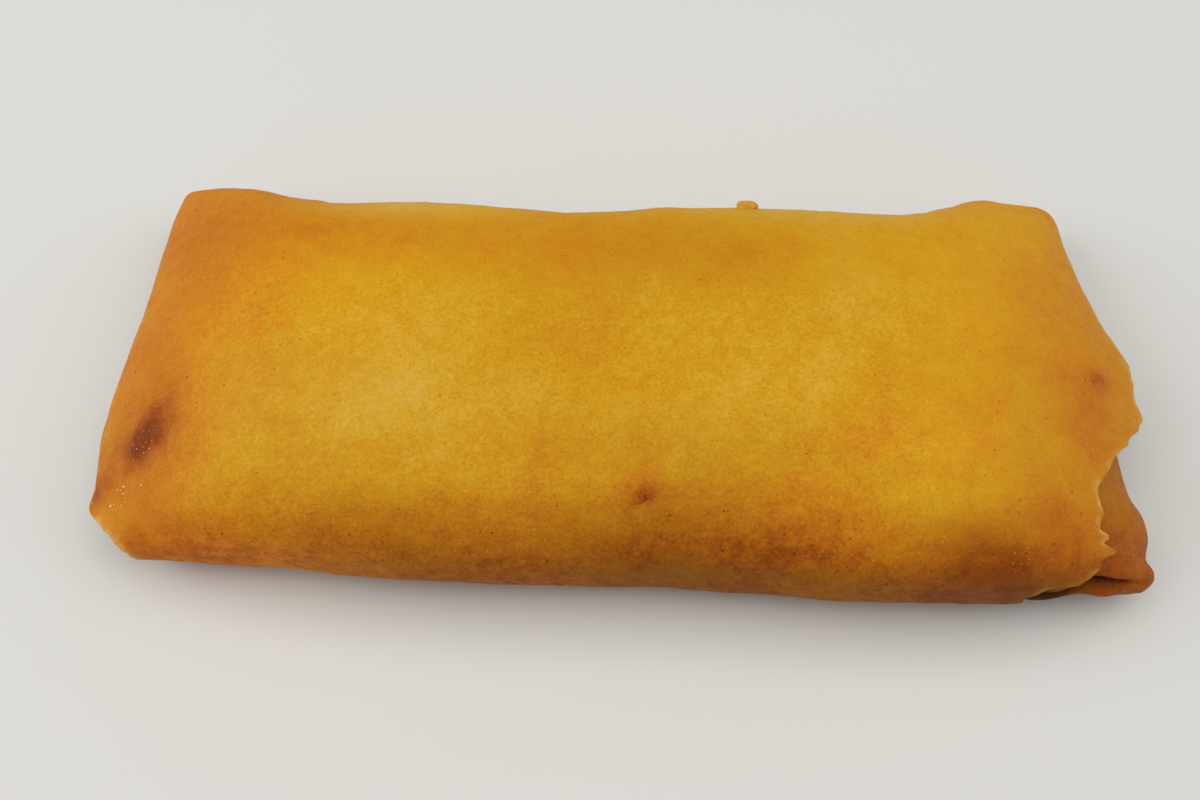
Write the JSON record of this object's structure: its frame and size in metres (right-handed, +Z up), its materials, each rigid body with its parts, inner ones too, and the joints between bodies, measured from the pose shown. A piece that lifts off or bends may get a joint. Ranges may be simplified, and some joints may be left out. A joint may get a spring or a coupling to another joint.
{
  "type": "egg roll",
  "caption": "Flat fried egg roll of thin crisp golden dough with folded ends, its outer turn torn at one front corner so that the turn below shows",
  "frame": {"origin": "middle of the bounding box in plan, on the surface that the roll rests on", "axes": "+X along the roll towards its torn end, +Y towards its back, +Z up"},
  "size_m": [0.1367, 0.0629, 0.0216],
  "materials": {
    "fried_dough": "thin wheat dough fried crisp: golden to straw yellow on top, orange brown towards the folds and along the front, fine blistered grain, slightly oily"
  },
  "bodies": {
    "root": {"egg_roll": "fried_dough"}
  },
  "joints": []
}
